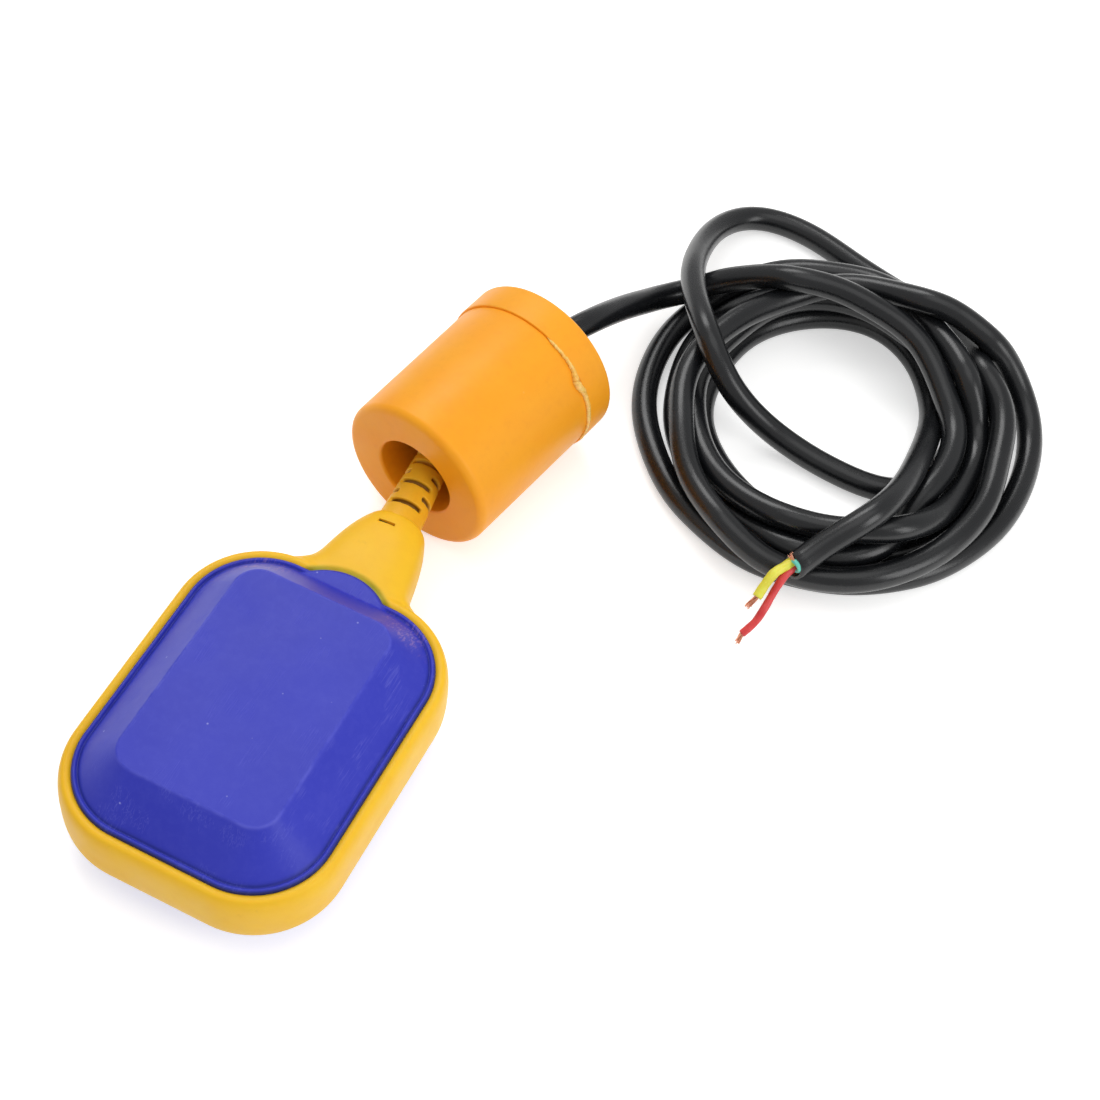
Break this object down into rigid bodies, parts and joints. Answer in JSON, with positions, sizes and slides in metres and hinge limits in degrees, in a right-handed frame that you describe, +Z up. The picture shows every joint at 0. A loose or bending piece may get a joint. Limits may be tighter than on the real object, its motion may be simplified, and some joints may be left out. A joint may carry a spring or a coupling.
{
  "type": "cable float switch",
  "caption": "Flat tank float with a sealed ball-and-lever switch inside, a bored counterweight that slides on the cable, and a loose coil of round cable with a bare cut end",
  "frame": {"origin": "bottom centre of the float and the counterweight as they lie on a surface, cable left out", "axes": "+Y runs from the float to the counterweight, +X toward the side where the coil lies, +Z up"},
  "size_m": [0.2, 0.3203, 0.0522],
  "materials": {
    "shell_blue": "blue moulded plastic, satin",
    "band_yellow": "yellow soft moulding, satin",
    "relief_yellow": "yellow soft moulding, satin",
    "weight_orange": "orange moulded plastic, satin",
    "ballast_iron": "raw cast iron",
    "ring_white": "white plastic",
    "sheath_black": "black sheath, satin",
    "grommet_black": "black rubber",
    "box_grey": "pale grey plastic",
    "ball_steel": "polished steel",
    "switch_black": "dark plastic",
    "button_red": "red plastic",
    "spring_brass": "spring brass",
    "blade_brass": "brass",
    "lever_steel": "spring steel",
    "core_red": "red core insulation",
    "core_yellow": "yellow core insulation",
    "core_green": "green core insulation",
    "copper": "bare copper strands"
  },
  "bodies": {
    "float": {"float_shell_top": "shell_blue", "float_shell_bottom": "shell_blue", "seal_band": "band_yellow", "strain_relief": "relief_yellow", "cable_entry": "sheath_black", "entry_grommet": "grommet_black", "capsule_base": "box_grey", "capsule_lid": "box_grey", "switch_case": "switch_black", "switch_cover": "switch_black", "switch_spring": "spring_brass", "lever_pin": "lever_steel", "terminal_common": "blade_brass", "terminal_open": "blade_brass", "terminal_closed": "blade_brass", "core_red_inner": "core_red", "core_yellow_inner": "core_yellow", "core_green_inner": "core_green", "cable_lead": "sheath_black", "cable_loop": "sheath_black", "cable_coil": "sheath_black", "cable_tail": "sheath_black", "core_red": "core_red", "core_yellow": "core_yellow", "core_green": "core_green", "strands_red": "copper", "strands_yellow": "copper"},
    "weight": {"weight_body": "weight_orange", "weight_cap": "weight_orange", "weight_core": "ballast_iron", "stop_ring": "ring_white"},
    "ball": {"steel_ball": "ball_steel"},
    "lever": {"switch_lever": "lever_steel"},
    "button": {"switch_button": "button_red"}
  },
  "joints": [
    {"name": "weight_slide", "type": "slide", "parent": "float", "child": "weight", "axis": [0.1993, 0.9798, 0.0172], "range_m": [-0.003, 0.01]},
    {"name": "ball_roll", "type": "slide", "parent": "float", "child": "ball", "axis": [0, 1, 0], "range_m": [0, 0.02]},
    {"name": "lever_pivot", "type": "hinge", "parent": "float", "child": "lever", "pos_m": [-0.0022, -0.03144, 0.02], "axis": [0, 0, 1], "range_deg": [-9.1, 0]},
    {"name": "button_push", "type": "slide", "parent": "float", "child": "button", "axis": [-1, 0, 0], "range_m": [0, 0.00132]}
  ],
  "couplings": [
    {"joint": "lever_pivot", "follows": "ball_roll", "rad_per_m": -7.854},
    {"joint": "button_push", "follows": "ball_roll", "ratio": 0.065}
  ]
}
